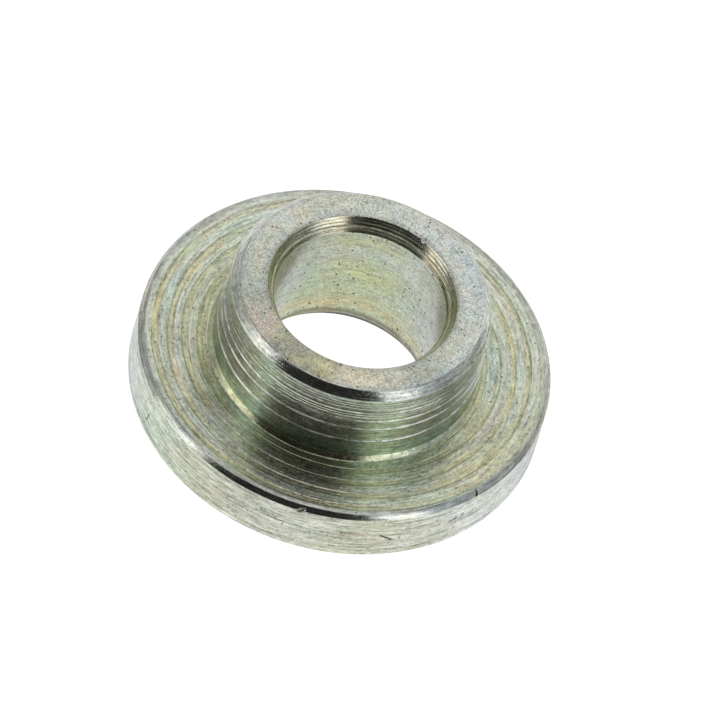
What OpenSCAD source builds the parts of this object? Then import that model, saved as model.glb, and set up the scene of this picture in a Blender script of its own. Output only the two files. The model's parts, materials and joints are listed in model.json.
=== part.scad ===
// Flanged shaft collar, turned from one piece of steel bar.
// A disc flange carries a short hub, and a plain bore runs through both.
// The origin is the centre of the flange's underside, and +Z runs along the bore towards the hub.
// Sizes are in millimetres.

/* [Flange] */
// Outside diameter of the flange
flange_d = 24; // [20:0.5:60]
// Thickness of the flange
flange_t = 3.5; // [2:0.5:12]
// Leg of the 45 degree chamfer around the flange's upper edge
flange_chamfer = 0.3; // [0.1:0.05:0.8]
// Radius of the broken edge around the flange's underside
flange_edge_r = 0.15; // [0.05:0.05:0.5]

/* [Hub] */
// Outside diameter of the hub
hub_d = 15.3; // [13:0.1:22]
// Height of the hub above the flange's upper face
hub_h = 5.5; // [2:0.5:20]
// Leg of the 45 degree chamfer around the hub's end face
hub_chamfer = 0.45; // [0.1:0.05:1]
// Leg of the 45 degree cone in the corner where the hub meets the flange
root_cone_w = 0.25; // [0.1:0.05:0.8]

/* [Bore] */
// Diameter of the bore, a sliding fit on the shaft
bore_d = 10; // [5:0.5:12]
// Radial width of the countersink at each end of the bore
countersink_w = 0.5; // [0.2:0.05:0.6]
// Included angle of both countersinks
countersink_angle = 60; // [60, 90]

/* [Hidden] */
$fn = 128;

flange_r = flange_d / 2;
hub_r = hub_d / 2;
bore_r = bore_d / 2;
overall_h = flange_t + hub_h;
countersink_depth = countersink_w / tan(countersink_angle / 2);
// Overrun that keeps a cutting shape clear of the face it cuts through
overrun = 1;
zinc_plate = [0.61, 0.63, 0.56];

// The section modules draw half of the collar's section: X is the radius and Y is the height.

// The disc, with its upper edge chamfered and its lower edge broken
module flange_section() {
    chamfer_start = flange_r - flange_chamfer;
    translate([0, flange_edge_r])
        square([flange_r, flange_t - flange_chamfer - flange_edge_r]);
    polygon([
        [0, flange_t - flange_chamfer],
        [flange_r, flange_t - flange_chamfer],
        [chamfer_start, flange_t],
        [0, flange_t]
    ]);
    square([flange_r - flange_edge_r, 2 * flange_edge_r]);
    translate([flange_r - flange_edge_r, flange_edge_r])
        circle(r = flange_edge_r);
}

// The hub standing on the flange, with its end face chamfered
module hub_section() {
    polygon([
        [0, flange_t / 2],
        [hub_r, flange_t / 2],
        [hub_r, overall_h - hub_chamfer],
        [hub_r - hub_chamfer, overall_h],
        [0, overall_h]
    ]);
}

// The narrow cone that the nose of the turning tool left in the corner between hub and flange
module root_cone_section() {
    polygon([
        [0, flange_t],
        [hub_r + root_cone_w, flange_t],
        [hub_r, flange_t + root_cone_w],
        [0, flange_t + root_cone_w]
    ]);
}

// The bore and the countersink at each end of it
module bore_section() {
    mouth_r = bore_r + countersink_w;
    translate([0, -overrun])
        square([bore_r, overall_h + 2 * overrun]);
    polygon([
        [0, -overrun],
        [mouth_r, -overrun],
        [mouth_r, 0],
        [bore_r, countersink_depth],
        [0, countersink_depth]
    ]);
    polygon([
        [0, overall_h + overrun],
        [mouth_r, overall_h + overrun],
        [mouth_r, overall_h],
        [bore_r, overall_h - countersink_depth],
        [0, overall_h - countersink_depth]
    ]);
}

// Flange, hub and bore, turned in one setting
module flanged_collar() {
    color(zinc_plate)
        rotate_extrude()
            difference() {
                union() {
                    flange_section();
                    hub_section();
                    root_cone_section();
                }
                bore_section();
            }
}

flanged_collar();
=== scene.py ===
# Looks of the flanged shaft collar: turned steel, zinc plated, with a thin yellow and green passivate.
# The CAD collar is replaced by a finer turned mesh of the same size that carries the tool marks and nicks.
import json
import math

import bpy
import numpy as np
from mathutils import Matrix, Vector


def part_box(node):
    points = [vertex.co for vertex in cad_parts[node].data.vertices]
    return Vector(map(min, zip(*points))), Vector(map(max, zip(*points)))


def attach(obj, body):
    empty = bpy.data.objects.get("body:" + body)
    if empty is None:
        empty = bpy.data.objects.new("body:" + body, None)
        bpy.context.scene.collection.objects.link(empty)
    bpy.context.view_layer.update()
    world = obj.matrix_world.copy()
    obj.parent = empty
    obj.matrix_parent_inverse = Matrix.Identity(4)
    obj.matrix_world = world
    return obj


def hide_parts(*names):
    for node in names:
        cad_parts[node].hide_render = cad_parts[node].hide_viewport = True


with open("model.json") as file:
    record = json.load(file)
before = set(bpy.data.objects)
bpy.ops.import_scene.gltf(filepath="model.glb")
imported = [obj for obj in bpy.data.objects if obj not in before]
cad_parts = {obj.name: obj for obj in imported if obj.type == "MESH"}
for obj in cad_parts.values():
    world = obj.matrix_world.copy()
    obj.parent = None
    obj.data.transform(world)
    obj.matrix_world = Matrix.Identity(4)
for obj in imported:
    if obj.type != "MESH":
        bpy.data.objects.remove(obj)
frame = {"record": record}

MM = 0.001
NODE = "flanged_collar"
SINK_HALF_ANGLE = math.radians(30)
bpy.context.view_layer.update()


# ---------------------------------------------------------------- sizes, the main ones from the frame

def read_sizes():
    """The collar's driving sizes in metres, from the CAD box and the record's mounts."""
    mounts = {m["name"]: m for m in frame["record"]["mounts"]}
    _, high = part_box(NODE)
    bore, hub = mounts["bore"], mounts["hub"]
    hub_middle = hub["pos_m"][2]
    hub_wall = hub["dims"]["length_mm"] * MM
    shoulder = mounts["flange_shoulder"]["pos_m"][2]
    sink_depth = (high.z - bore["dims"]["length_mm"] * MM) / 2
    return {
        "flange_r": high.x,
        "hub_r": hub["dims"]["r_mm"] * MM,
        "bore_r": bore["dims"]["r_mm"] * MM,
        "shoulder": shoulder,
        "top": high.z,
        "root": hub_middle - hub_wall / 2 - shoulder,
        "hub_chamfer": high.z - hub_middle - hub_wall / 2,
        "sink_depth": sink_depth,
        "sink_width": sink_depth * math.tan(SINK_HALF_ANGLE),
    }


SIZE = read_sizes()
FLANGE_CHAMFER = 0.3 * MM  # as in the CAD source; no mount gives it

# The facing tool moved outwards by FEED in each turn and left a proud band and a low band side by side
FEED = 0.88 * MM
FEED_START = 0.24          # where the spiral starts, as a share of a turn
PROUD_SHARE = 0.57         # share of the feed that stands proud
LOW_BAND = 0.014 * MM      # how far the low band is cut in
FEED_GROOVE = 0.016 * MM   # how deep the groove is where one turn meets the next

# The turning tool left three ledges on the hub, so the hub is thickest at its root
HUB_LEDGES = (0.28, 0.467, 0.587)     # as shares of the hub's height
LEDGE_STEP = 0.05 * MM                # how far the wall steps in at each ledge
LEDGE_RISE = 0.02 * MM                # the height over which it does so
HUB_SWELL = LEDGE_STEP * len(HUB_LEDGES) / 2
FINE_TURNING = 0.62                   # above this share of its height the hub has coarser lines

RIM_LINES = (0.13, 0.42, 0.53, 0.86)  # deeper turning lines, as shares of the rim's height from the top
RIM_LINE_DEPTH = 0.014 * MM
SINK_GROOVE_DEPTH = 0.025 * MM
CHAMFER_GROOVE = 0.72                 # as a share of the hub chamfer's height, from the top
CHAMFER_GROOVE_DEPTH = 0.008 * MM

# Fine lines left by the tool: how far apart they are, how deep, and the seed of their uneven heights
LINES = {
    "flange_face": (0.06 * MM, 0.004 * MM, 1),
    "hub_wall": (0.06 * MM, 0.005 * MM, 2),
    "hub_top": (0.11 * MM, 0.016 * MM, 3),
    "rim": (0.06 * MM, 0.006 * MM, 4),
    "sink": (0.09 * MM, 0.012 * MM, 5),
}

# Dents: azimuth in degrees, then radius, height, length, width and depth in mm, then the slant of the length
# away from the direction round the axis, in degrees
DENTS = (
    (271, 11.97, 3.20, 0.50, 0.22, 0.09, 30),
    (323, 11.90, 3.34, 0.40, 0.14, 0.08, 60),
    (64, 5.62, 8.98, 0.30, 0.16, 0.10, 60),
    (296, 12.00, 1.60, 1.05, 0.14, 0.06, -30),
    (267, 12.00, 1.60, 0.22, 0.07, 0.04, 60),
    (316, 12.00, 1.90, 0.60, 0.15, 0.06, 12),
    (319, 12.00, 2.10, 0.20, 0.13, 0.05, 20),
    (216, 12.00, 1.30, 0.80, 0.08, 0.03, 80),
)


# ---------------------------------------------------------------- the turned outline

# How far apart the mesh's rows are: closest where the tool left sharp lines
SPACING = {"low_sink": 0.04 * MM, "underside": 0.06 * MM, "rim": 0.025 * MM, "flange_chamfer": 0.02 * MM,
           "flange_face": 0.02 * MM, "root": 0.02 * MM, "hub_wall": 0.01 * MM, "hub_chamfer": 0.02 * MM,
           "end_face": 0.03 * MM, "top_sink": 0.015 * MM, "bore_wall": 0.05 * MM}
CORNER_STEP = 0.02 * MM


def outline_corners():
    """Corners of the half section as (surface that follows, radius, height, corner radius), anticlockwise."""
    s = SIZE
    mouth_r = s["bore_r"] + s["sink_width"]
    return [
        ("low_sink", s["bore_r"], s["sink_depth"], 0.10 * MM),
        ("underside", mouth_r, 0.0, 0.06 * MM),
        ("rim", s["flange_r"], 0.0, 0.15 * MM),
        ("flange_chamfer", s["flange_r"], s["shoulder"] - FLANGE_CHAMFER, 0.06 * MM),
        ("flange_face", s["flange_r"] - FLANGE_CHAMFER, s["shoulder"], 0.38 * MM),
        ("root", s["hub_r"] + s["root"], s["shoulder"], 0.15 * MM),
        ("hub_wall", s["hub_r"], s["shoulder"] + s["root"], 0.06 * MM),
        ("hub_chamfer", s["hub_r"], s["top"] - s["hub_chamfer"], 0.06 * MM),
        ("end_face", s["hub_r"] - s["hub_chamfer"], s["top"], 0.20 * MM),
        ("top_sink", mouth_r, s["top"], 0.12 * MM),
        ("bore_wall", s["bore_r"], s["top"] - s["sink_depth"], 0.06 * MM),
    ]


def outline_points():
    """Points around the outline as (surface, radius, height, normal radius, normal height)."""
    corners = outline_corners()
    count = len(corners)
    points = []
    for i, (surface, r, z, corner_r) in enumerate(corners):
        here = np.array([r, z])
        before = here - np.array(corners[i - 1][1:3])
        after = np.array(corners[(i + 1) % count][1:3]) - here
        d_in = before / np.linalg.norm(before)
        d_out = after / np.linalg.norm(after)
        turn = math.atan2(d_in[0] * d_out[1] - d_in[1] * d_out[0], d_in @ d_out)
        cut = corner_r * math.tan(abs(turn) / 2)
        start = here - d_in * cut
        side = math.copysign(1.0, turn)
        centre = start + side * corner_r * np.array([-d_in[1], d_in[0]])
        n_in = np.array([d_in[1], -d_in[0]])
        steps = max(3, round(abs(turn) * corner_r / CORNER_STEP))
        for k in range(steps + 1):
            a = turn * k / steps
            n = np.array([n_in[0] * math.cos(a) - n_in[1] * math.sin(a),
                          n_in[0] * math.sin(a) + n_in[1] * math.cos(a)])
            owner = surface if k > steps / 2 else corners[i - 1][0]
            points.append((owner, *(centre + side * corner_r * n), *n))
        following = corners[(i + 1) % count]
        next_turn_cut = corner_cut(corners, (i + 1) % count)
        end = np.array(following[1:3]) - d_out * next_turn_cut
        begin = here + d_out * cut
        length = np.linalg.norm(end - begin)
        pieces = max(1, round(length / SPACING[surface]))
        n_out = (d_out[1], -d_out[0])
        for k in range(1, pieces):
            points.append((surface, *(begin + (end - begin) * k / pieces), *n_out))
    return points


def corner_cut(corners, i):
    """How far along its sides corner i is rounded away."""
    here = np.array(corners[i][1:3])
    before = here - np.array(corners[i - 1][1:3])
    after = np.array(corners[(i + 1) % len(corners)][1:3]) - here
    turn = math.atan2(before[0] * after[1] - before[1] * after[0], before @ after)
    return corners[i][3] * math.tan(abs(turn) / 2)


# ---------------------------------------------------------------- tool marks, as depths cut into the surface

def smooth(x):
    """0 below 0, 1 above 1, and a soft step between."""
    x = np.clip(x, 0, 1)
    return x * x * (3 - 2 * x)


def window(q, low, high, fade):
    """1 between low and high, fading to 0 at both ends."""
    return smooth((q - low) / fade) * smooth((high - q) / fade)


def ridges(q, place):
    """Depth of the uneven fine lines of that place: smooth noise along q, the same all the way round."""
    spacing, deepest, seed = LINES[place]
    count = 1000
    heights = np.random.default_rng(seed).uniform(0, 1, count)
    step = np.floor(q / spacing).astype(int)
    share = smooth(q / spacing - step)
    return deepest * (heights[step % count] * (1 - share) + heights[(step + 1) % count] * share)


def groove(q, middle, width, deepest):
    """A round-bottomed groove."""
    return deepest * np.exp(-((q - middle) / width) ** 2)


def facing_depth(r, turn):
    """The spiral on the flange: a proud band and a low band in each feed, with a groove where turns meet."""
    phase = np.mod(r / FEED - turn - FEED_START, 1.0)
    from_groove = np.abs(np.mod(phase + 0.5, 1.0) - 0.5)
    s = SIZE
    shown = window(r, s["hub_r"] + s["root"], s["flange_r"] - FLANGE_CHAMFER, 0.2 * MM)
    bands = LOW_BAND * window(phase, PROUD_SHARE, 1.0, 0.06) + groove(from_groove, 0.0, 0.030, FEED_GROOVE)
    return shown * (bands + ridges(r, "flange_face"))


def hub_lines(z):
    """Fine turning lines on the hub wall, coarser near its top."""
    s = SIZE
    height = s["top"] - s["shoulder"]
    share = (z - s["shoulder"]) / height
    shown = window(z, s["shoulder"] + s["root"], s["top"] - s["hub_chamfer"], 0.08 * MM)
    coarse = smooth((share - FINE_TURNING) / 0.03)
    return shown * (ridges(z, "hub_wall") + coarse * ridges(z, "hub_top"))


def ledge_heights():
    """Heights of the hub's ledges above the flange's underside."""
    return [SIZE["shoulder"] + share * (SIZE["top"] - SIZE["shoulder"]) for share in HUB_LEDGES]


def hub_shift(z):
    """How far the hub's wall stands outside its mean radius: less above each ledge."""
    shift = np.full_like(z, HUB_SWELL)
    for ledge in ledge_heights():
        shift = shift - LEDGE_STEP * smooth((z - ledge) / LEDGE_RISE + 0.5)
    return shift


def face_shift(r, edge, shift):
    """Carries the hub's shift into a flat face and lets it fade within a millimetre of the edge."""
    return shift * smooth(1 - abs(r - edge) / MM)


def rim_depth(z):
    """Fine lines around the rim, and a few deeper ones."""
    s = SIZE
    depth = ridges(z, "rim")
    for share in RIM_LINES:
        line = s["shoulder"] * (1 - share)
        depth = depth + groove(z, line, 0.04 * MM, RIM_LINE_DEPTH)
    return depth * window(z, 0.1 * MM, s["shoulder"] - FLANGE_CHAMFER, 0.1 * MM)


def sink_depth(z):
    """Rings left by the countersink's cutting edge, with a deeper groove a third of the way up."""
    s = SIZE
    bottom = s["top"] - s["sink_depth"]
    return ridges(z, "sink") + groove(z, bottom + s["sink_depth"] / 3, 0.035 * MM, SINK_GROOVE_DEPTH)


def chamfer_depth(z):
    """A fine groove across the hub's chamfer, where a second cut broke its lower edge."""
    s = SIZE
    return groove(z, s["top"] - CHAMFER_GROOVE * s["hub_chamfer"], 0.02 * MM, CHAMFER_GROOVE_DEPTH)


def dent_depth(x, y, z, nx, ny, nz):
    """Small dents and scratches: each is a long hollow that lies in the surface."""
    depth = np.zeros_like(x)
    for azimuth, radius, height, length, width, deepest, slant in DENTS:
        a, b = math.radians(azimuth), math.radians(slant)
        outward = np.array([math.cos(a), math.sin(a), 0.0])
        ring = np.array([-math.sin(a), math.cos(a), 0.0])
        dx, dy, dz = x - outward[0] * radius * MM, y - outward[1] * radius * MM, z - height * MM
        along_ring = dx * ring[0] + dy * ring[1]
        across_r = dx * outward[0] + dy * outward[1]
        facing = nx * outward[0] + ny * outward[1]
        across_ring = dz * facing - across_r * nz
        u = along_ring * math.cos(b) + across_ring * math.sin(b)
        v = across_ring * math.cos(b) - along_ring * math.sin(b)
        off = dx * nx + dy * ny + dz * nz
        near = np.exp(-(u / (length * MM / 2)) ** 4 - (v / (width * MM / 2)) ** 2 - (off / (0.5 * MM)) ** 4)
        depth += deepest * MM * near
    return depth


# ---------------------------------------------------------------- the mesh

SECTORS = 360
DENT_MARGIN = math.radians(1.2)
COLUMN_STEP = 0.1          # the widest step between a dent's columns is a third of this, in mm


def sector_angles():
    """Angles of the mesh's columns: even, with extra ones where a dent needs them."""
    angles = [np.linspace(0, 2 * math.pi, SECTORS, endpoint=False)]
    for azimuth, radius, _, length, width, _, slant in DENTS:
        reach = DENT_MARGIN + length * abs(math.cos(math.radians(slant))) / radius / 2
        fine = min(width, COLUMN_STEP) / 3 / radius
        middle = math.radians(azimuth)
        angles.append(np.arange(middle - reach, middle + reach, fine))
    return np.unique(np.round(np.mod(np.concatenate(angles), 2 * math.pi), 5))


def grid_mesh(name, vertices, material_index):
    """A closed grid: rows go round the outline and columns go round the axis."""
    rows, cols = vertices.shape[:2]
    i = np.arange(rows)[:, None]
    j = np.arange(cols)[None, :]
    i2, j2 = (i + 1) % rows, (j + 1) % cols
    faces = np.stack([i * cols + j, i * cols + j2, i2 * cols + j2, i2 * cols + j], axis=-1).reshape(-1, 4)
    mesh = bpy.data.meshes.new(name)
    mesh.vertices.add(rows * cols)
    mesh.vertices.foreach_set("co", vertices.astype(np.float32).ravel())
    mesh.loops.add(faces.size)
    mesh.loops.foreach_set("vertex_index", faces.astype(np.int32).ravel())
    mesh.polygons.add(len(faces))
    mesh.polygons.foreach_set("loop_start", np.arange(0, faces.size, 4, dtype=np.int32))
    mesh.update(calc_edges=True)
    mesh.polygons.foreach_set("use_smooth", np.ones(len(faces), dtype=bool))
    mesh.polygons.foreach_set("material_index", np.repeat(material_index, cols).astype(np.int32))
    mesh.validate()
    return mesh


def turned_collar(name):
    """The collar's mesh with its tool marks and dents, and the surfaces that its material slots stand for."""
    points = outline_points()
    surfaces = np.array([p[0] for p in points])
    r, z, nr, nz = (np.array([p[k] for p in points])[:, None] for k in (1, 2, 3, 4))
    angle = sector_angles()[None, :]
    on = {n: (surfaces == n)[:, None] for n in set(surfaces)}
    depth = on["flange_face"] * facing_depth(r, angle / (2 * math.pi))
    depth = depth + on["hub_wall"] * hub_lines(z) + on["rim"] * rim_depth(z)
    depth = depth + (on["top_sink"] | on["low_sink"]) * sink_depth(z) + on["hub_chamfer"] * chamfer_depth(z)
    nx, ny = nr * np.cos(angle), nr * np.sin(angle)
    x, y, zz = r * np.cos(angle), r * np.sin(angle), z + 0 * angle
    depth = depth + dent_depth(x, y, zz, nx, ny, nz)
    s = SIZE
    shift = (on["root"] | on["hub_wall"] | on["hub_chamfer"]) * hub_shift(z)
    shift = shift + on["flange_face"] * face_shift(r, s["hub_r"] + s["root"], HUB_SWELL)
    shift = shift + on["end_face"] * face_shift(r, s["hub_r"] - s["hub_chamfer"], -HUB_SWELL)
    x = x + shift * np.cos(angle) - nx * depth
    y = y + shift * np.sin(angle) - ny * depth
    zz = zz - nz * depth
    names = [c[0] for c in outline_corners()]
    index = np.array([names.index(n) for n in surfaces])
    mesh = grid_mesh(name, np.stack([x, y, zz], axis=-1), index)
    collar = bpy.data.objects.new(name, mesh)
    bpy.context.scene.collection.objects.link(collar)
    return collar, names


# ---------------------------------------------------------------- shader nodes written as expressions

class Graph:
    """A node tree. Every value is a number, a colour, or another node's output."""

    def __init__(self, tree):
        self.tree = tree
        tree.nodes.clear()

    def node(self, kind, **settings):
        made = self.tree.nodes.new("ShaderNode" + kind)
        for key, value in settings.items():
            setattr(made, key, value)
        return made

    def feed(self, socket, value):
        if isinstance(value, bpy.types.NodeSocket):
            self.tree.links.new(value, socket)
        elif isinstance(value, tuple) and len(value) == 3 and socket.type == "RGBA":
            socket.default_value = (*value, 1.0)
        else:
            socket.default_value = value

    def math(self, operation, a, b=0.0):
        """Any other operation of the Math node."""
        made = self.node("Math", operation=operation)
        self.feed(made.inputs[0], a)
        self.feed(made.inputs[1], b)
        return made.outputs[0]

    def add(self, a, b):
        return self.math("ADD", a, b)

    def sub(self, a, b):
        return self.math("SUBTRACT", a, b)

    def mul(self, a, b):
        return self.math("MULTIPLY", a, b)

    def step(self, value, low, high):
        """0 below low, 1 above high, smooth between; low may be above high."""
        made = self.node("MapRange", interpolation_type="SMOOTHSTEP")
        self.feed(made.inputs["Value"], value)
        if low > high:
            low, high = high, low
            made.inputs["To Min"].default_value, made.inputs["To Max"].default_value = 1.0, 0.0
        made.inputs["From Min"].default_value = low
        made.inputs["From Max"].default_value = high
        return made.outputs["Result"]

    def vector(self, x, y, z):
        made = self.node("CombineXYZ")
        for socket, value in zip(made.inputs, (x, y, z)):
            self.feed(socket, value)
        return made.outputs[0]

    def split(self, vector):
        made = self.node("SeparateXYZ")
        self.feed(made.inputs[0], vector)
        return made.outputs

    def noise(self, vector, scale, detail=2.0, roughness=0.5):
        made = self.node("TexNoise")
        self.feed(made.inputs["Vector"], vector)
        made.inputs["Scale"].default_value = scale
        made.inputs["Detail"].default_value = detail
        made.inputs["Roughness"].default_value = roughness
        return made.outputs["Fac"]

    def cells(self, vector, scale):
        """Small patches: a random number for each patch, and the distance from its middle."""
        made = self.node("TexVoronoi")
        self.feed(made.inputs["Vector"], vector)
        made.inputs["Scale"].default_value = scale
        parts = self.node("SeparateColor")
        self.feed(parts.inputs[0], made.outputs["Color"])
        return parts.outputs[0], made.outputs["Distance"]

    def ramp(self, value, stops, interpolation="LINEAR"):
        """A colour ramp. Stops are (position, colour)."""
        made = self.node("ValToRGB")
        self.feed(made.inputs["Fac"], value)
        made.color_ramp.interpolation = interpolation
        elements = made.color_ramp.elements
        while len(elements) < len(stops):
            elements.new(0.5)
        for element, (position, colour) in zip(elements, stops):
            element.position = position
            element.color = (*colour, 1.0)
        return made.outputs["Color"]

    def mix(self, share, a, b, blend="MIX"):
        made = self.node("Mix", data_type="RGBA", blend_type=blend)
        self.feed(made.inputs[0], share)
        self.feed(made.inputs[6], a)
        self.feed(made.inputs[7], b)
        return made.outputs[2]

    def grey(self, value):
        made = self.node("CombineColor")
        for socket in made.inputs:
            self.feed(socket, value)
        return made.outputs[0]


# ---------------------------------------------------------------- zinc plate

# Tints of the passivate, from the thin clear film to the thicker yellow one. Some of them also serve as
# painted shade and painted highlights, as noted where they are used.
FROST = (0.70, 0.735, 0.695)
PEARL = (0.70, 0.715, 0.635)
ICE = (0.64, 0.71, 0.76)
LILAC = (0.68, 0.67, 0.70)
TEAL = (0.66, 0.735, 0.61)
AQUA = (0.60, 0.73, 0.65)
LEAF = (0.61, 0.69, 0.51)
STRAW = (0.69, 0.68, 0.50)
OCHRE = (0.65, 0.64, 0.40)
ROSE = (0.63, 0.57, 0.50)
GRASS = (0.70, 0.73, 0.49)
SEA = (0.56, 0.71, 0.62)
CREAM = (1.0, 0.95, 0.75)
PALE = (0.80, 0.83, 0.79)
PEACH = (0.78, 0.70, 0.56)
LIME = (0.68, 0.72, 0.42)
SAND = (0.65, 0.66, 0.52)
TAN = (0.72, 0.65, 0.38)
STEEL = (0.46, 0.54, 0.60)
DOVE = (0.58, 0.58, 0.59)
# Painted shade for the far side of the chamfers
PAINTED_SHADE = (0.34, 0.35, 0.33)
SLATE = (0.37, 0.42, 0.41)
# Painted highlight: the bright line along each of the hub's ledges
PAINTED_HIGHLIGHT = (0.95, 0.96, 0.90)
OLIVE = (0.50, 0.51, 0.32)
MOSS = (0.40, 0.41, 0.25)
ASH = (0.52, 0.54, 0.48)
SMOKE = (0.42, 0.41, 0.35)
BROWN = (0.30, 0.26, 0.17)
SOOT = (0.12, 0.11, 0.09)

# Small changes of tint that multiply the ones above
COOL = (0.93, 0.99, 1.06)
GREENISH = (0.95, 1.02, 0.97)
NEUTRAL = (1.0, 1.0, 1.0)
WARM = (1.06, 1.00, 0.90)


class Plate:
    """The places and marks that each zinc material is built from. Lengths are in millimetres."""

    def __init__(self, name, on_face):
        self.material = bpy.data.materials.new(name)
        self.material.use_nodes = True
        g = self.g = Graph(self.material.node_tree)
        per_mm = g.node("VectorMath", operation="SCALE")
        g.feed(per_mm.inputs[0], g.node("TexCoord").outputs["Object"])
        per_mm.inputs["Scale"].default_value = 1 / MM
        self.place = per_mm.outputs[0]
        x, y, z = g.split(self.place)
        flat = g.vector(x, y, 0.0)
        length = g.node("VectorMath", operation="LENGTH")
        g.feed(length.inputs[0], flat)
        self.r = length.outputs["Value"]
        self.z = z
        outward = g.node("VectorMath", operation="NORMALIZE")
        g.feed(outward.inputs[0], flat)
        self.outward = outward.outputs[0]
        self.ox, self.oy, _ = g.split(self.outward)
        self.turn = g.mul(g.math("ARCTAN2", y, x), 1 / (2 * math.pi))
        self.across = self.r if on_face else z
        self.tangent = self.outward if on_face else g.vector(0.0, 0.0, 1.0)

    def rings(self, stretch):
        """A place for noise that is drawn out along the tool marks; a low stretch draws it out more."""
        return self.g.vector(self.across, self.g.mul(self.ox, stretch), self.g.mul(self.oy, stretch))

    def around(self, stops):
        """A tint that changes round the axis; on some surfaces some of its stops are painted shade. Stops are
        (degrees, tint), starting at 0.
        """
        g = self.g
        wobble = g.mul(g.sub(g.noise(self.place, 0.6, 2.0), 0.5), 0.10)
        share = g.math("FRACT", g.add(g.add(self.turn, wobble), 1.0))
        shares = [(degrees / 360, tint) for degrees, tint in stops]
        return g.ramp(share, shares + [(1.0, stops[0][1])], "EASE")

    def stain_and_painted_light(self, colour, azimuth, across, spread, width, tint, strength):
        """Mixes in a soft patch of tint, used both for stains of the film and for painted shade and
        highlights: spread is in degrees and width in millimetres, from its middle.
        """
        g = self.g
        a = math.radians(azimuth)
        toward = g.add(g.mul(self.ox, math.cos(a)), g.mul(self.oy, math.sin(a)))
        near = g.step(toward, math.cos(math.radians(spread)), 1.0)
        beside = g.step(g.math("ABSOLUTE", g.sub(self.across, across)), width, 0.0)
        ragged = g.step(g.noise(self.place, 1.7, 3.0, 0.6), 0.25, 0.60)
        return g.mix(g.mul(g.mul(near, beside), g.mul(ragged, strength)), colour, tint)


def stains_and_painted_light(p, colour, patches):
    """Mixes in soft patches, stains, painted shade and painted highlights alike, each as
    Plate.stain_and_painted_light takes it.
    """
    for patch in patches:
        colour = p.stain_and_painted_light(colour, *patch)
    return colour


def ringed(p, colour, lines):
    """Draws thin rings over the colour. Lines are (radius or height in mm, half width, tint, strength)."""
    g = p.g
    broken = g.add(0.45, g.mul(0.55, g.step(g.noise(p.rings(2.5), 1.3, 2.0), 0.40, 0.60)))
    for across, width, tint, strength in lines:
        beside = g.step(g.math("ABSOLUTE", g.sub(p.across, across)), width, width * 0.3)
        colour = g.mix(g.mul(g.mul(beside, broken), strength), colour, tint)
    return colour


def scratched(p, colour):
    """Dirt in the scratches on the flange's edge, at the places of the mesh's dents."""
    g = p.g
    for azimuth, radius, height, length, width, _, slant in DENTS:
        if radius * MM < SIZE["hub_r"]:
            continue
        a, b = math.radians(azimuth), math.radians(slant)
        facing = g.add(g.mul(p.ox, math.cos(a)), g.mul(p.oy, math.sin(a)))
        along = g.mul(g.sub(g.mul(p.oy, math.cos(a)), g.mul(p.ox, math.sin(a))), radius)
        up = g.sub(p.z, height)
        u = g.math("ABSOLUTE", g.add(g.mul(along, math.cos(b)), g.mul(up, math.sin(b))))
        v = g.math("ABSOLUTE", g.sub(g.mul(up, math.cos(b)), g.mul(along, math.sin(b))))
        inside = g.mul(g.step(u, length * 0.6, length * 0.3), g.step(v, width * 0.7, width * 0.3))
        colour = g.mix(g.mul(inside, g.step(facing, 0.0, 0.5)), colour, SOOT)
    return colour


# In the tables below, a patch is (azimuth in degrees, radius or height in mm, spread in degrees,
# half width in mm, tint, strength). Walls use the height and faces the radius.

FLANGE_BANDS = [
    (0.0, MOSS), (0.035, OLIVE), (0.08, PEARL), (0.30, TEAL), (0.50, FROST),
    (0.585, ROSE), (0.66, OCHRE), (0.84, STRAW), (0.93, OLIVE), (1.0, MOSS),
]
# The smoke patch at 262 degrees is painted shade on the side toward the camera, and the pale one at 236
# degrees is a painted highlight streak across the face
FLANGE_PATCHES = (
    (178, 10.6, 16, 0.5, AQUA, 0.8), (140, 10.6, 14, 0.4, AQUA, 0.7), (233, 10.7, 9, 0.4, AQUA, 0.7),
    (20, 10.1, 18, 0.4, AQUA, 0.6), (130, 11.2, 22, 0.25, ROSE, 0.7), (325, 10.5, 25, 0.3, ROSE, 0.6),
    (262, 9.6, 32, 2.4, SMOKE, 0.7), (334, 10.2, 24, 2.4, OLIVE, 0.55), (236, 9.6, 12, 2.2, PALE, 0.6),
    (38, 10.4, 20, 0.3, PEACH, 0.9), (5, 9.8, 16, 0.3, TAN, 0.8), (185, 11.1, 18, 0.25, TAN, 1.0),
    (160, 9.9, 18, 0.25, TAN, 0.8), (210, 10.2, 14, 0.3, PEACH, 0.8), (12, 8.6, 20, 0.8, AQUA, 0.8),
    (326, 10.6, 20, 1.2, TAN, 0.45), (349, 9.4, 18, 0.4, ROSE, 1.0), (28, 9.9, 16, 0.3, TAN, 0.9),
)


def flange_face_colour(p):
    """Yellow and blue-grey bands along the facing tool's spiral, olive near the hub and grey at the edge,
    with painted shade and a painted highlight streak on the side toward the camera.
    """
    g = p.g
    # The olive stops at 200 and 240 degrees are painted shade on the side toward the camera
    base = p.around([
        (0, LEAF), (60, TEAL), (110, PEARL), (165, LEAF),
        (200, OLIVE), (240, OLIVE), (300, LEAF), (340, STRAW),
    ])
    wander = g.mul(g.sub(g.noise(p.rings(1.5), 0.8), 0.5), 0.22)
    phase = g.math("FRACT", g.add(g.sub(g.mul(p.r, MM / FEED), p.turn), g.add(wander, 2 - FEED_START)))
    bands = g.ramp(phase, FLANGE_BANDS)
    patchy = g.step(g.noise(p.rings(3.0), 0.8), 0.28, 0.58)
    colour = g.mix(g.add(0.35, g.mul(patchy, 0.5)), base, bands)
    near_hub = g.step(p.r, 9.8, 8.2)
    colour = g.mix(g.mul(near_hub, 0.65), colour, OLIVE)
    colour = stains_and_painted_light(p, colour, FLANGE_PATCHES)
    at_edge = g.step(p.r, 11.3, 11.6)
    return g.mix(g.mul(at_edge, 0.8), colour, ASH)


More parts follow.
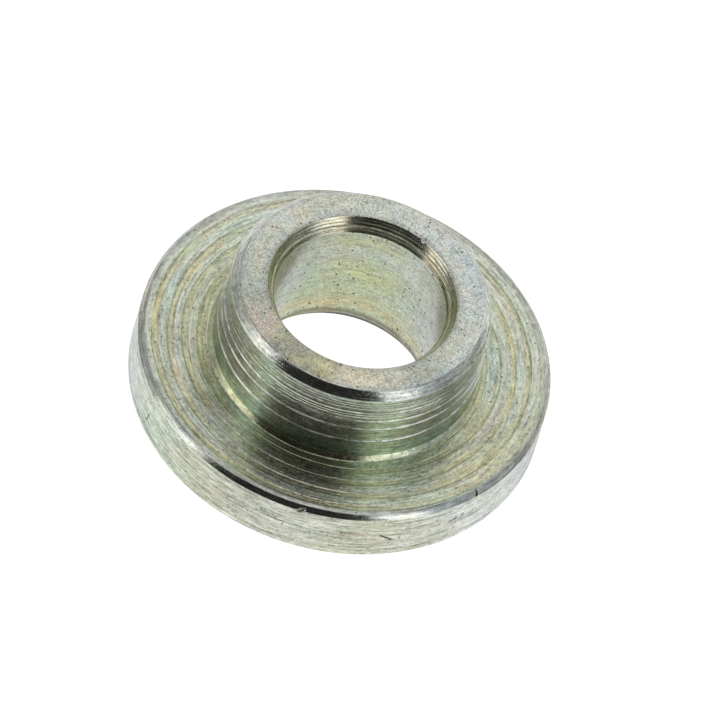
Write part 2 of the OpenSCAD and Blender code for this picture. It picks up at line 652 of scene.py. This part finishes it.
END_FACE_PATCHES = (
    (38, 6.8, 30, 0.8, ICE, 0.7), (325, 7.1, 28, 0.6, ICE, 0.7), (218, 6.0, 18, 0.9, ROSE, 0.9),
    (232, 6.1, 10, 0.8, OCHRE, 0.6), (275, 6.2, 26, 0.8, STRAW, 0.9), (285, 6.1, 10, 0.5, TAN, 0.7),
    (270, 7.05, 40, 0.30, SMOKE, 0.6), (130, 6.3, 16, 0.7, STRAW, 0.5), (175, 6.2, 20, 0.6, STRAW, 0.5),
    (120, 5.7, 30, 0.25, ICE, 0.6), (150, 7.1, 25, 0.5, LILAC, 0.5), (288, 6.2, 30, 1.0, PEACH, 0.9),
    (316, 7.05, 15, 0.35, STEEL, 0.9), (165, 7.25, 25, 0.2, STEEL, 0.6), (345, 6.0, 20, 0.6, STRAW, 0.5),
)
END_FACE_RINGS = (
    (7.12, 0.05, SMOKE, 0.5), (6.97, 0.03, SMOKE, 0.4), (5.78, 0.04, ASH, 0.6), (6.55, 0.03, ASH, 0.3),
)


def end_face_colour(p):
    """Pale and even, with soft bluish, pink and straw patches, and painted shade on the side toward the
    camera.
    """
    g = p.g
    # The stops from 200 to 262 degrees are darker: painted shade on the side toward the camera
    colour = p.around([
        (0, FROST), (70, FROST), (95, PEARL), (160, PEARL), (200, ASH), (225, ROSE),
        (240, SMOKE), (262, OLIVE), (280, PEARL), (318, ASH), (340, PEARL),
    ])
    colour = ringed(p, stains_and_painted_light(p, colour, END_FACE_PATCHES), END_FACE_RINGS)
    mouth_edge = g.step(p.r, 5.85, 5.6)
    return g.mix(g.mul(mouth_edge, 0.5), colour, SMOKE)


# All three are painted light: the smoke patches at 219 and 282 degrees are painted shade toward the camera,
# and the pale one at 311 degrees is a painted highlight streak
HUB_PAINTED_LIGHT_PATCHES = (
    (282, 7.5, 26, 1.1, SMOKE, 0.7), (311, 7.6, 16, 1.0, PALE, 1.0), (219, 6.5, 24, 2.7, SMOKE, 1.0),
)


def hub_wall_colour(p):
    """Grey-green, bluer just above the root, with patches of painted shade and painted highlight, and a
    painted highlight along each ledge.
    """
    g = p.g
    colour = p.around([
        (0, PEARL), (120, PEARL), (215, ASH), (235, LEAF), (260, ASH),
        (295, LEAF), (310, ASH), (326, SLATE), (345, SLATE), (357, PEARL),
    ])
    patchy = g.step(g.noise(p.rings(3.0), 0.9, 2.0), 0.35, 0.65)
    colour = g.mix(g.mul(patchy, 0.5), colour, TEAL)
    colour = stains_and_painted_light(p, colour, HUB_PAINTED_LIGHT_PATCHES)
    low = g.step(p.z, 5.4, 4.1)
    colour = g.mix(g.mul(low, 0.8), colour, SEA)
    # The rings at the ledges are painted highlights, where each ledge faces up into the bright light
    return ringed(p, colour, [(ledge / MM, 0.035, PAINTED_HIGHLIGHT, 1.0) for ledge in ledge_heights()])


RIM_RINGS = (
    (2.88, 0.06, SMOKE, 0.8), (1.85, 0.07, SMOKE, 0.9), (1.50, 0.05, SMOKE, 0.9),
    (0.45, 0.06, SMOKE, 0.9), (2.30, 0.05, ASH, 0.9), (1.05, 0.05, SMOKE, 0.7),
)


def rim_colour(p):
    """Pale, with dark scratches and turning lines."""
    colour = p.around([
        (0, LILAC), (60, PEARL), (150, PEARL), (195, FROST), (222, TEAL), (243, SAND),
        (262, PEARL), (290, SAND), (312, PEARL), (335, PALE), (354, DOVE),
    ])
    return ringed(p, scratched(p, colour), RIM_RINGS)


# The smoke patches at 8 and 162 degrees are painted shade at both sides of the bore's upper half
BORE_PATCHES = (
    (88, 7.2, 80, 3.0, PALE, 0.9), (92, 4.6, 34, 2.2, LIME, 1.0), (96, 7.4, 34, 1.2, LIME, 0.9),
    (95, 2.4, 70, 1.0, OCHRE, 0.9), (108, 1.9, 40, 0.5, ROSE, 0.3), (134, 5.0, 12, 1.2, ICE, 0.6),
    (120, 4.0, 24, 2.2, LEAF, 0.7), (8, 7.4, 26, 2.2, SMOKE, 1.0), (162, 7.2, 24, 2.4, SMOKE, 1.0),
)
BORE_RINGS = (
    (1.75, 0.60, TAN, 0.8), (7.05, 0.07, SMOKE, 0.6), (4.75, 0.08, SMOKE, 0.6), (6.2, 0.05, ASH, 0.5),
    (5.7, 0.06, ASH, 0.5), (3.9, 0.06, ASH, 0.5), (3.3, 0.05, SMOKE, 0.4), (7.85, 0.09, SMOKE, 0.5),
)


def bore_wall_colour(p):
    """Lilac-grey to yellow-green round the bore, with brown staining at its lower end and painted shade at
    both sides of its upper half.
    """
    g = p.g
    colour = p.around([
        (0, ASH), (18, LILAC), (45, FROST), (70, TEAL), (95, LEAF), (112, STRAW),
        (130, LEAF), (150, FROST), (165, ASH), (210, PEARL), (300, ASH),
    ])
    cloudy = g.step(g.noise(p.place, 0.7, 2.0), 0.38, 0.62)
    colour = g.mix(g.mul(cloudy, 0.35), colour, LEAF)
    colour = ringed(p, stains_and_painted_light(p, colour, BORE_PATCHES), BORE_RINGS)
    low_edge = g.step(p.z, 1.40, 1.05)
    return g.mix(g.mul(low_edge, 0.8), colour, BROWN)


def root_colour(p):
    """Yellow-green, with a darker line where the facing cut began."""
    colour = p.around([(0, GRASS), (120, GRASS), (215, GRASS), (250, OLIVE), (285, GRASS), (325, TEAL)])
    return ringed(p, colour, ((SIZE["hub_r"] / MM + 0.24, 0.04, OLIVE, 0.6),))


# The two dark patches at 90 and 88 degrees are painted shade on the far side of the flange's chamfer and of
# the hub's
CHAMFER_PATCHES = (
    (90, 11.85, 100, 2.0, PAINTED_SHADE, 1.0), (88, 7.45, 42, 1.0, PAINTED_SHADE, 0.9), (318, 11.85, 16, 1.0, STEEL, 0.8),
    (318, 7.40, 16, 1.0, STEEL, 0.6), (165, 7.30, 25, 0.2, STEEL, 0.6),
)
CHAMFER_RINGS = (
    (7.28, 0.04, SMOKE, 0.5), (7.43, 0.035, SMOKE, 0.6), (7.60, 0.04, ASH, 0.6),
    (11.80, 0.04, SMOKE, 0.5), (11.93, 0.03, SMOKE, 0.5),
)


def chamfer_colour(p):
    """Pale, with painted shade that makes the back greyer and darker, and with darker rings on the hub's
    chamfer and on the flange's.
    """
    # The ash stops from 30 to 125 degrees are painted shade at the back
    colour = p.around([
        (0, PEARL), (30, ASH), (75, ASH), (125, ASH), (160, PEARL), (200, PEARL), (300, FROST),
    ])
    colour = scratched(p, stains_and_painted_light(p, colour, CHAMFER_PATCHES))
    return ringed(p, colour, CHAMFER_RINGS)


SINK_RINGS = (
    (8.92, 0.05, SMOKE, 0.6), (8.60, 0.05, SMOKE, 0.5), (8.40, 0.03, SMOKE, 0.5), (8.18, 0.08, BROWN, 0.7),
)


def sink_colour(p):
    """Straw and pink, with brown rings where the cutting edge dwelt."""
    colour = p.around([
        (0, CREAM), (35, CREAM), (52, PEACH), (70, PEARL), (100, ROSE),
        (125, CREAM), (180, CREAM), (220, ASH), (300, ASH),
    ])
    return ringed(p, colour, SINK_RINGS)


# How each surface is finished: its colours, its roughness, how much longer its marks are than wide, and
# the strength of its fine grain, its mottling, its streaks, its pits, its relief and its small tint changes
LOOKS = {
    "flange_face": {"colour": flange_face_colour, "face": True, "rough": 0.22, "aniso": 0.6, "draw": 5.0,
                    "grain": 0.38, "mottle": 0.35, "streak": 1.1, "pits": 0.5, "bump": 1.2, "hues": 0.4},
    "end_face": {"colour": end_face_colour, "face": True, "rough": 0.30, "aniso": 0.2, "draw": 7.0,
                 "grain": 0.54, "mottle": 0.45, "streak": 0.3, "pits": 0.65, "bump": 0.9, "hues": 0.7},
    "hub_wall": {"colour": hub_wall_colour, "face": False, "rough": 0.18, "aniso": 0.7, "draw": 2.5,
                 "grain": 0.44, "mottle": 0.4, "streak": 1.1, "pits": 0.3, "bump": 0.8, "hues": 0.6},
    "rim": {"colour": rim_colour, "face": False, "rough": 0.28, "aniso": 0.6, "draw": 4.5,
            "grain": 0.40, "mottle": 0.25, "streak": 1.2, "pits": 0.5, "bump": 1.2, "hues": 0.5},
    "bore_wall": {"colour": bore_wall_colour, "face": False, "rough": 0.32, "aniso": 0.5, "draw": 4.0,
                  "grain": 0.32, "mottle": 0.45, "streak": 0.5, "pits": 0.85, "bump": 0.8, "hues": 0.35},
    "root": {"colour": root_colour, "face": True, "rough": 0.19, "aniso": 0.6, "draw": 3.0,
             "grain": 0.36, "mottle": 0.3, "streak": 0.6, "pits": 0.3, "bump": 0.8, "hues": 0.5},
    "chamfer": {"colour": chamfer_colour, "face": True, "rough": 0.16, "aniso": 0.8, "draw": 3.0,
                "grain": 0.40, "mottle": 0.3, "streak": 1.1, "pits": 0.2, "bump": 0.9, "hues": 0.5},
    "sink": {"colour": sink_colour, "face": False, "rough": 0.20, "aniso": 0.7, "draw": 2.0,
             "grain": 0.45, "mottle": 0.3, "streak": 0.9, "pits": 0.2, "bump": 0.8, "hues": 0.7},
}
LOOK_OF = {"low_sink": "sink", "underside": "flange_face", "rim": "rim", "flange_chamfer": "chamfer",
           "flange_face": "flange_face", "root": "root", "hub_wall": "hub_wall", "hub_chamfer": "chamfer",
           "end_face": "end_face", "top_sink": "sink", "bore_wall": "bore_wall"}
GRAINS = 9.0               # grains to a millimetre
PITS = 4.0                 # places for a pit to a millimetre
PIT_SIZE = 0.31            # radius of the widest pit, as a share of the distance between places
RELIEF = 0.006 * MM        # height of the bumps
HUES = [(0.34, COOL), (0.46, GREENISH), (0.54, NEUTRAL), (0.66, WARM)]


def zinc(name, look):
    """The zinc plate of one surface, as its look says."""
    p = Plate(name, look["face"])
    g = p.g
    colour = look["colour"](p)
    grain, _ = g.cells(p.rings(look["draw"]), GRAINS)
    dots, dot_distance = g.cells(p.place, PITS)
    speckle = g.noise(p.place, 12.0, 2.0, 0.75)
    mottle = g.noise(p.place, 1.6, 2.0, 0.6)
    streak = g.noise(p.rings(0.8), 7.0, 3.0, 0.7)
    pits = g.step(g.sub(dot_distance, g.mul(g.math("POWER", dots, 2.4), PIT_SIZE)), 0.04, -0.04)

    shade = g.add(1.0, g.mul(g.sub(grain, 0.5), look["grain"]))
    noises = ((speckle, 3.0 * look["grain"]), (mottle, look["mottle"]), (streak, 1.6 * look["streak"]))
    for noise, strength in noises:
        shade = g.add(shade, g.mul(g.sub(noise, 0.5), strength))
    shade = g.mul(shade, g.sub(1.0, g.mul(pits, look["pits"])))
    colour = g.mix(1.0, colour, g.grey(shade), "MULTIPLY")
    film = g.noise(p.rings(4.0), 1.2, 2.0, 0.6)
    colour = g.mix(look["hues"], colour, g.ramp(film, HUES), "MULTIPLY")

    height = g.add(g.mul(streak, 1.2), g.add(g.mul(speckle, 0.8), g.mul(grain, 0.25)))
    height = g.sub(height, g.mul(pits, 0.3))
    bump = g.node("Bump")
    bump.inputs["Strength"].default_value = 1.0
    bump.inputs["Distance"].default_value = RELIEF * look["bump"]
    g.feed(bump.inputs["Height"], height)

    shader = g.node("BsdfPrincipled")
    shader.inputs["Metallic"].default_value = 1.0
    g.feed(shader.inputs["Base Color"], colour)
    g.feed(shader.inputs["Roughness"], g.add(look["rough"], g.mul(g.sub(speckle, 0.5), 0.2)))
    shader.inputs["Anisotropic"].default_value = look["aniso"]
    g.feed(shader.inputs["Tangent"], p.tangent)
    g.feed(shader.inputs["Normal"], bump.outputs[0])
    g.feed(g.node("OutputMaterial").inputs["Surface"], shader.outputs[0])
    return p.material


collar, surface_names = turned_collar("collar_turned")
for surface in surface_names:
    collar.data.materials.append(zinc("zinc_" + surface, LOOKS[LOOK_OF[surface]]))
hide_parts(NODE)
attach(collar, "root")


# ---------------------------------------------------------------- stage, light and camera

FLOOR_SIDE = 1.2
FLOOR_GAP = 0.02 * MM      # keeps the floor clear of the collar's underside
FLOOR_GREY = (0.45, 0.45, 0.45, 1)
FLOOR_GLOW = 0.68          # light given off beside the collar
FLOOR_SHADE = 0.64         # how much less of it there is under the flange


def camera_place(g):
    """Where the camera is, as x, y and z."""
    made = g.node("VectorTransform", vector_type="POINT", convert_from="CAMERA", convert_to="WORLD")
    made.inputs[0].default_value = (0.0, 0.0, 0.0)
    return g.split(made.outputs[0])


def make_floor():
    """A plain white floor, out of the way when the camera is below it."""
    mesh = bpy.data.meshes.new("floor")
    h = FLOOR_SIDE / 2
    mesh.from_pydata([(-h, -h, 0), (h, -h, 0), (h, h, 0), (-h, h, 0)], [], [(0, 1, 2, 3)])
    floor = bpy.data.objects.new("floor", mesh)
    floor.location.z = -FLOOR_GAP
    bpy.context.scene.collection.objects.link(floor)
    material = bpy.data.materials.new("pale_floor")
    material.use_nodes = True
    g = Graph(material.node_tree)
    shader = g.node("BsdfPrincipled")
    shader.inputs["Base Color"].default_value = FLOOR_GREY
    shader.inputs["Roughness"].default_value = 1.0
    shader.inputs["Specular IOR Level"].default_value = 0.0
    shader.inputs["Emission Color"].default_value = (1, 1, 1, 1)
    length = g.node("VectorMath", operation="LENGTH")
    g.feed(length.inputs[0], g.node("TexCoord").outputs["Object"])
    r = length.outputs["Value"]
    s = SIZE
    past_bore = g.step(r, s["bore_r"], s["bore_r"] + s["sink_width"])
    under = g.mul(past_bore, g.step(r, s["flange_r"], s["flange_r"] - MM))
    seen = g.node("LightPath").outputs["Is Camera Ray"]
    glow = g.sub(FLOOR_GLOW, g.mul(under, FLOOR_SHADE))
    g.feed(shader.inputs["Emission Strength"], g.math("MAXIMUM", glow, seen))
    _, _, camera_z = camera_place(g)
    from_below = g.node("MixShader")
    g.feed(from_below.inputs[0], g.math("LESS_THAN", camera_z, 0.0))
    g.feed(from_below.inputs[1], shader.outputs[0])
    g.feed(from_below.inputs[2], g.node("BsdfTransparent").outputs[0])
    g.feed(g.node("OutputMaterial").inputs["Surface"], from_below.outputs[0])
    mesh.materials.append(material)


GAP_TURN = math.radians(-7.5)     # the dark opening round the camera is a little to its left
GAP_HALF = math.radians(45.5)     # from the middle of the opening to its edge
GAP_LEVEL = 0.02                  # brightness inside the opening
FLANK_LEVEL = 0.62                # beside the opening, high up
FLANK_BOOST = 0.6                 # added to it lower down
SIDE_LEVEL = 0.40                 # at the sides
FAR_BOOST = 0.38                  # added to it opposite the camera
TOP_LEVEL = 0.75                  # overhead


def make_world():
    """A soft white tent with a dark opening round the camera, which goes where the camera goes."""
    world = bpy.data.worlds.new("studio")
    bpy.context.scene.world = world
    world.use_nodes = True
    g = Graph(world.node_tree)
    x, y, z = g.split(g.node("TexCoord").outputs["Generated"])
    camera_x, camera_y, _ = camera_place(g)
    toward = g.add(g.mul(x, camera_x), g.mul(y, camera_y))
    aside = g.sub(g.mul(y, camera_x), g.mul(x, camera_y))
    azimuth = g.math("ABSOLUTE", g.sub(g.math("ARCTAN2", aside, toward), GAP_TURN))
    elevation = g.math("ARCSINE", z)
    rad = math.radians
    softness = g.add(rad(3), g.mul(g.step(elevation, rad(42), rad(52)), rad(8)))
    outside_gap = g.step(g.math("DIVIDE", g.sub(azimuth, GAP_HALF), softness), -1.0, 1.0)
    flank = g.add(FLANK_LEVEL, g.mul(g.step(elevation, rad(52), rad(35)), FLANK_BOOST))
    past_flank = g.step(azimuth, rad(62), rad(90))
    far = g.step(azimuth, rad(125), rad(160))
    side = g.add(SIDE_LEVEL, g.mul(far, FAR_BOOST))
    around = g.add(g.mul(flank, g.sub(1.0, past_flank)), g.mul(past_flank, side))
    walls = g.add(GAP_LEVEL, g.mul(outside_gap, g.sub(around, GAP_LEVEL)))
    above = g.step(elevation, rad(66), rad(84))
    level = g.add(g.mul(walls, g.sub(1.0, above)), g.mul(above, TOP_LEVEL))
    seen = g.math("MAXIMUM", level, g.node("LightPath").outputs["Is Camera Ray"])
    background = g.node("Background")
    g.feed(background.inputs["Strength"], seen)
    background.inputs["Color"].default_value = (1, 1, 1, 1)
    g.feed(g.node("OutputWorld").inputs["Surface"], background.outputs[0])


VIEW_ELEVATION = math.radians(50.15)
VIEW_ROLL = math.radians(16.72)
PICTURE_WIDTH = 3.424      # in flange radii
AIM_RIGHT = 0.0696         # how far right of the flange's centre the camera aims, in flange radii
AIM_UP = -0.0414           # and how far above it
LENS = 1200                # in mm; a long lens, because the photo shows almost no perspective
SENSOR_WIDTH = 36


def make_camera():
    """A camera at the photo's viewing angle."""
    unit = SIZE["flange_r"]
    data = bpy.data.cameras.new("camera")
    data.sensor_width = SENSOR_WIDTH
    data.lens = LENS
    cam = bpy.data.objects.new("camera", data)
    bpy.context.scene.collection.objects.link(cam)
    back = Vector((0, -math.cos(VIEW_ELEVATION), math.sin(VIEW_ELEVATION)))
    level = back.to_track_quat("Z", "Y").to_matrix()
    rotation = level @ Matrix.Rotation(VIEW_ROLL, 3, "Z")
    distance = PICTURE_WIDTH * unit * LENS / SENSOR_WIDTH
    aim = Vector((0, 0, SIZE["shoulder"])) + rotation @ Vector((AIM_RIGHT, AIM_UP, 0)) * unit
    cam.matrix_world = Matrix.Translation(aim + back * distance) @ rotation.to_4x4()
    data.clip_start = distance / 100
    data.clip_end = distance * 10
    bpy.context.scene.camera = cam


make_floor()
make_world()
make_camera()
bpy.context.scene.view_settings.view_transform = "Standard"
